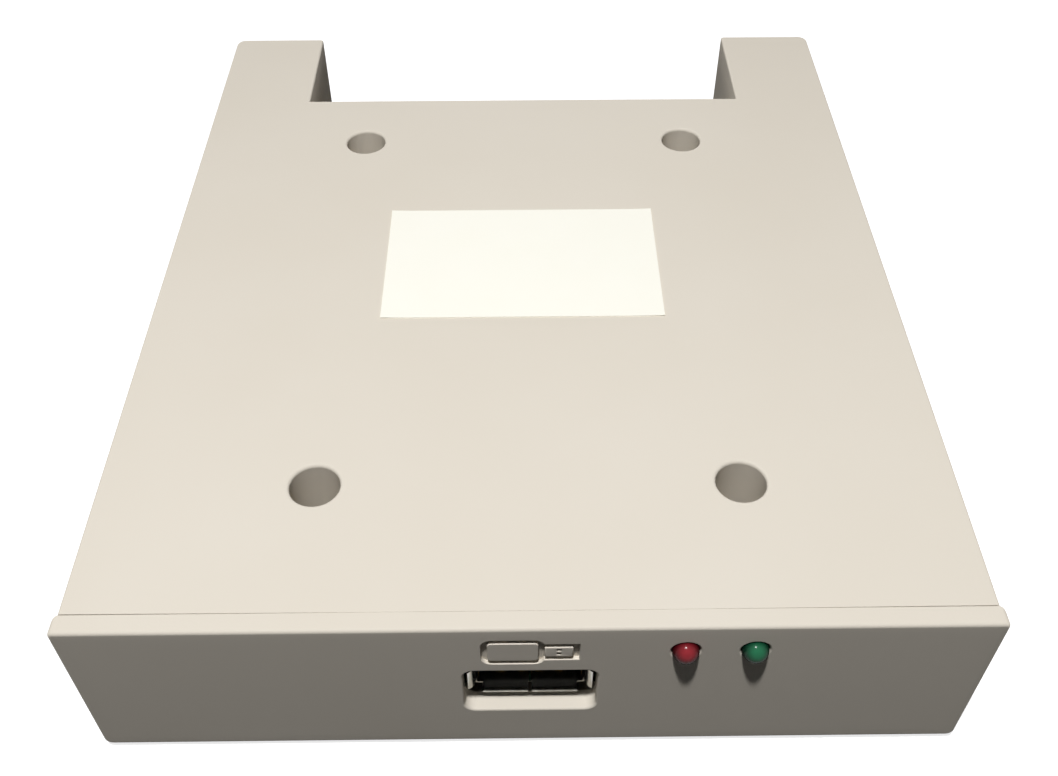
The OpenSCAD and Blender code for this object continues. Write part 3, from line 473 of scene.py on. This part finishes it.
def frontPanel():
    low, high, edges = *boxMm("front_bezel"), panelEdges
    bm = cadCopy("front_bezel", [(axis, place) for axis in (x, z) for place in
                                 (low[axis] + edges["frame"], high[axis] - edges["frame"])])

    def outside(*ends):  # on the panel's outline
        sides, top, foot = high.x - edges["band"], high.z - edges["topBand"], low.z + edges["band"]
        return all(abs(p.x) > sides or p.z > top or p.z < foot for p in ends)

    def inZone(name, *ends):
        lowX, highX, lowZ, highZ = panelZones[name]
        return all(lowX < p.x < highX and lowZ < p.z < highZ for p in ends)

    atFront = lambda a, b: level(y, low.y, a, b)
    atBack = lambda a, b: level(y, coverLow.y, a, b)
    atEnd = lambda a, b: level(x, high.x, a, b) or level(x, low.x, a, b)
    endEdge = lambda a, b: atEnd(a, b) and (level(z, high.z, a, b) or atBack(a, b))
    roundEdges(bm, edges["ends"], endEdge, segments=4)
    roundEdges(bm, edges["front"], lambda a, b: atFront(a, b) and outside(a, b), segments=4)
    roundEdges(bm, edges["back"], lambda a, b: atBack(a, b) and outside(a, b), segments=2)
    for zone, segments in (("port", 3), ("lamp", 3), ("mark", 2)):
        roundEdges(bm, edges[zone], lambda a, b: atFront(a, b) and inZone(zone, a, b), segments)
    addPiece("frontPanel", bm, "front_bezel")


# label, stuck on by hand and a little loose at its corners
label = {"stepsAcross": 39, "stepsAlong": 24, "curlMm": 0.1, "curlFromMm": 4.0}


def paperLabel():
    low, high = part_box("paper_label")
    middle, span = (low + high) / 2, high - low
    bm = bmesh.new()
    bmesh.ops.create_grid(bm, x_segments=label["stepsAcross"], y_segments=label["stepsAlong"],
                          size=0.5)  # one unit wide, scaled next
    bmesh.ops.scale(bm, vec=(span.x, span.y, 1), verts=bm.verts)
    bmesh.ops.translate(bm, vec=(middle.x, middle.y, low.z), verts=bm.verts)
    for vert in bm.verts:
        toSide = span.x / 2 - abs(vert.co.x - middle.x)
        toEnd = span.y / 2 - abs(vert.co.y - middle.y)
        toCorner = math.hypot(toSide, toEnd) / mm
        vert.co.z += label["curlMm"] * mm * max(0, 1 - toCorner / label["curlFromMm"]) ** 2
    made = bmesh.ops.extrude_face_region(bm, geom=bm.faces[:])["geom"]
    upper = [g for g in made if isinstance(g, bmesh.types.BMVert)]
    bmesh.ops.translate(bm, vec=(0, 0, span.z), verts=upper)
    bmesh.ops.recalc_face_normals(bm, faces=bm.faces)
    addPiece("paperLabel", bm, "paper_label")


# lamp lenses: dome, barrel and flange
lens = {"radius": 1.5, "flange": 1.0, "steps": 48, "domeSteps": 12}


def lampLens(name, nodeName):
    low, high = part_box(nodeName)
    middle = (low + high) / 2
    radius = lens["radius"] * mm
    bm = bmesh.new()
    tip = bm.verts.new((middle.x, low.y, middle.z))
    dome = bmesh.ops.spin(bm, geom=[tip], cent=(middle.x, low.y + radius, middle.z), axis=(-1, 0, 0),
                          angle=math.radians(90), steps=lens["domeSteps"])
    end = [g for g in dome["geom_last"] if isinstance(g, bmesh.types.BMVert)]
    flangeY = high.y - lens["flange"] * mm
    for place in ((end[0].co.z, flangeY), (high.z, flangeY), (high.z, high.y), (middle.z, high.y)):
        end = bmesh.ops.extrude_vert_indiv(bm, verts=end)["verts"]
        end[0].co = (middle.x, place[1], place[0])
    bmesh.ops.spin(bm, geom=bm.verts[:] + bm.edges[:], cent=middle, axis=(0, 1, 0), angle=2 * math.pi,
                   steps=lens["steps"], use_merge=True)
    bmesh.ops.remove_doubles(bm, verts=bm.verts, dist=meshing["merge"] * mm)
    bmesh.ops.recalc_face_normals(bm, faces=bm.faces)
    addPiece(name, bm, nodeName)


# pressed shell of the port: a strip of sheet folded round, with lips at the mouth, spring fingers and legs
shell = {
    "wide": 13.1, "high": 5.72, "thick": 0.3, "fold": 0.6, "foldSteps": 5, "seam": 0.2,
    "spread": 0.8, "lipLong": 1.2, "lipSteps": 12, "lip": (0.2, 5.5), "sideLip": 1.8,
    "wideCurl": (0.36, 0.06), "sideCurl": (1.2, 0.75),  # length and spread of the curl at the lips' ends
    "slit": (1.9, 4.5), "finger": (2.2, 4.2), "fingerIn": 0.42, "tipIn": 0.3,
    "slitAt": 5.8, "tipAt": 6.1, "bendAt": 6.9, "rootAt": 9.3,
    "leg": (7.7, 9.5), "legNotch": (7.4, 9.8),
}


def drawTo(bm, end, points):  # lengthens a line, point by point
    for point in points:
        end = bmesh.ops.extrude_vert_indiv(bm, verts=end)["verts"]
        end[0].co = point
    return end


def portShell():
    s = shell
    low, high = boxMm("usb_shell")
    halfW, halfH, fold = s["wide"] / 2, s["high"] / 2, s["fold"]
    sideZ = halfH - fold
    acrossStops = sorted({*s["lip"], *s["slit"], *s["finger"], halfW - fold})
    bm = bmesh.new()
    end = [bm.verts.new((s["seam"] / 2, 0, -halfH))]  # the section, drawn round from the seam
    end = drawTo(bm, end, [(a, 0, -halfH) for a in acrossStops])
    for side in (1, -1):
        for up in (side, -side):
            foldAt = (side * (halfW - fold), 0, -up * sideZ)
            turn = bmesh.ops.spin(bm, geom=end, cent=foldAt, axis=(0, -1, 0), angle=math.radians(90),
                                  steps=s["foldSteps"])
            end = [g for g in turn["geom_last"] if isinstance(g, bmesh.types.BMVert)]
            if up == side:
                end = drawTo(bm, end, [(side * halfW, 0, side * stop)
                                       for stop in (-s["sideLip"], s["sideLip"], sideZ)])
            elif side > 0:
                across = [-a for a in acrossStops]
                end = drawTo(bm, end, [(a, 0, halfH) for a in acrossStops[-2::-1] + across])
    drawTo(bm, end, [(-a, 0, -halfH) for a in acrossStops[-2::-1]] + [(-s["seam"] / 2, 0, -halfH)])

    lipEnd = s["lipLong"]
    stations = [lipEnd * i / s["lipSteps"] for i in range(s["lipSteps"] + 1)]
    stations += sorted({s["slitAt"], s["tipAt"], s["bendAt"], s["rootAt"], *s["leg"], *s["legNotch"]})
    stations.append(high.y - low.y)
    row = bm.edges[:]
    for station in stations[1:]:
        made = bmesh.ops.extrude_edge_only(bm, edges=row)["geom"]
        verts = {g for g in made if isinstance(g, bmesh.types.BMVert)}
        for vert in verts:
            vert.co.y = station
        row = [g for g in made if isinstance(g, bmesh.types.BMEdge) and verts.issuperset(g.verts)]

    def cutAway(face):  # the sheet's notches, slits and openings
        at = face.calc_center_median()
        flat = abs(at.z) > halfH - near
        across = abs(at.x)
        if at.y < lipEnd:
            return not (s["lip"][0] < across < s["lip"][1] if flat else abs(at.z) < s["sideLip"])
        if flat and s["slitAt"] < at.y < s["rootAt"] and s["slit"][0] < across < s["slit"][1]:
            return at.y < s["tipAt"] or not s["finger"][0] < across < s["finger"][1]
        return s["legNotch"][0] < at.y < s["legNotch"][1] and at.z < -sideZ and not flat

    bmesh.ops.delete(bm, geom=[face for face in bm.faces if cutAway(face)], context="FACES")
    for vert in bm.verts:
        flat = abs(vert.co.z) > halfH - near
        if vert.co.y < lipEnd:
            long, spread = s["wideCurl"] if flat else s["sideCurl"]
            bendR = (long ** 2 + spread ** 2) / (2 * spread)
            outward = bendR - math.sqrt(bendR ** 2 - max(0, long - vert.co.y) ** 2)
            vert.co[z if flat else x] += math.copysign(outward, vert.co[z if flat else x])
        elif flat and s["tipAt"] - near < vert.co.y < s["rootAt"] \
                and s["finger"][0] - near < abs(vert.co.x) < s["finger"][1] + near:
            fall = (s["rootAt"] - vert.co.y) / (s["rootAt"] - s["bendAt"])
            press = s["fingerIn"] * fall if fall <= 1 else s["tipIn"]
            vert.co.z -= math.copysign(press, vert.co.z)
    foot = [edge for edge in bm.edges if edge.is_boundary and all(
        level(z, -sideZ, v.co) and s["leg"][0] - near < v.co.y < s["leg"][1] + near for v in edge.verts)]
    made = bmesh.ops.extrude_edge_only(bm, edges=foot)["geom"]
    middleZ = high.z - s["spread"] - halfH
    for vert in {g for g in made if isinstance(g, bmesh.types.BMVert)}:
        vert.co.z = low.z - middleZ
    bm.normal_update()
    bmesh.ops.solidify(bm, geom=bm.faces[:], thickness=s["thick"])
    bmesh.ops.translate(bm, verts=bm.verts, vec=(0, low.y, middleZ))
    bmesh.ops.scale(bm, verts=bm.verts, vec=(mm, mm, mm))
    addPiece("portShell", bm, "usb_shell")


def pieceName(nodeName):  # a node's name in the way of this script
    first, *rest = nodeName.split("_")
    return first + "".join(word.capitalize() for word in rest)


# small parts whose edges are only broken: radius in mm and segments
brokenEdges = {
    "case_screws": (0.12, 2), "power_header_block": (0.2, 3),
    "usb_insulator": (0.06, 2), "usb_contact_1": (0.05, 2), "usb_contact_2": (0.05, 2),
    "usb_contact_3": (0.05, 2), "usb_contact_4": (0.05, 2), "controller_chip": (0.08, 2),
    "buffer_chips": (0.05, 2), "regulator_body": (0.1, 2), "chip_resistors": (0.05, 2),
    "chip_capacitors": (0.08, 2),
}


def smallParts():
    for nodeName, (radiusMm, segments) in brokenEdges.items():
        bm = cadCopy(nodeName)
        roundEdges(bm, radiusMm, lambda a, b: True, segments)
        addPiece(pieceName(nodeName), bm, nodeName)


# pin headers: a notch between columns, where a strip can be snapped off, and broken corners
header = {"columns": {"floppy_header_block": 17, "jumper_header_block": 3},
          "notch": 0.4, "edge": 0.4, "minLong": 1}


def headerBlocks():
    notch = header["notch"]
    for nodeName, columns in header["columns"].items():
        low, high = boxMm(nodeName)
        borders = [low.x + (high.x - low.x) * i / columns for i in range(1, columns)]
        bm = cadCopy(nodeName, [(x, border + step) for border in borders for step in (-notch, 0, notch)])
        for vert in bm.verts:
            at = vert.co / mm
            onFace = level(z, low.z, at) or level(z, high.z, at)
            if onFace and any(level(x, border, at) for border in borders):
                vert.co.z += math.copysign(notch * mm, (low.z + high.z) / 2 - at.z)
        atEnd = lambda a, b: level(x, low.x, a, b) or level(x, high.x, a, b)
        longEdge = lambda a, b: atEnd(a, b) and abs(a.y - b.y) > header["minLong"]
        roundEdges(bm, header["edge"], longEdge, segments=1)
        addPiece(pieceName(nodeName), bm, nodeName)


# jumper caps: soft edges on the cap and round the end of its grip
jumperCap = {"nodes": ("jumper_cap_1", "jumper_cap_2"), "edge": 0.12, "grip": 0.6}


def jumperCaps():
    for nodeName in jumperCap["nodes"]:
        bm = cadCopy(nodeName)
        endY = boxMm(nodeName)[1].y
        gripY = endY - jumperCap["grip"]
        onGrip = lambda a, b: min(a.y, b.y) > gripY - near and max(a.y, b.y) > endY - near
        roundEdges(bm, jumperCap["edge"], lambda a, b: not onGrip(a, b) or level(y, endY, a, b))
        addPiece(pieceName(nodeName), bm, nodeName)


# header pins with chamfered tips
pinTip = {"nodes": ("floppy_header_pins", "jumper_header_pins", "power_header_pins"), "chamfer": 0.18}


def headerPins():
    for nodeName in pinTip["nodes"]:
        bm = cadCopy(nodeName)
        tipY = boxMm(nodeName)[1].y
        roundEdges(bm, pinTip["chamfer"], lambda a, b: level(y, tipY, a, b), segments=1)
        addPiece(pieceName(nodeName), bm, nodeName)


# crystal: a drawn can with a round shoulder
crystal = {"shoulder": 0.6, "rim": 0.1, "rimBelow": 2}


def crystalCan():
    bm = cadCopy("crystal_can")
    topZ = boxMm("crystal_can")[1].z
    roundEdges(bm, crystal["shoulder"], lambda a, b: level(z, topZ, a, b), segments=5)
    roundEdges(bm, crystal["rim"], lambda a, b: max(a.z, b.z) < topZ - crystal["rimBelow"], segments=2)
    addPiece("crystalCan", bm, "crystal_can")


topCover()
bottomShell()
frontPanel()
paperLabel()
lampLens("redLens", "red_led_lens")
lampLens("greenLens", "green_led_lens")
portShell()
smallParts()
headerBlocks()
jumperCaps()
headerPins()
crystalCan()
print("pieces made")
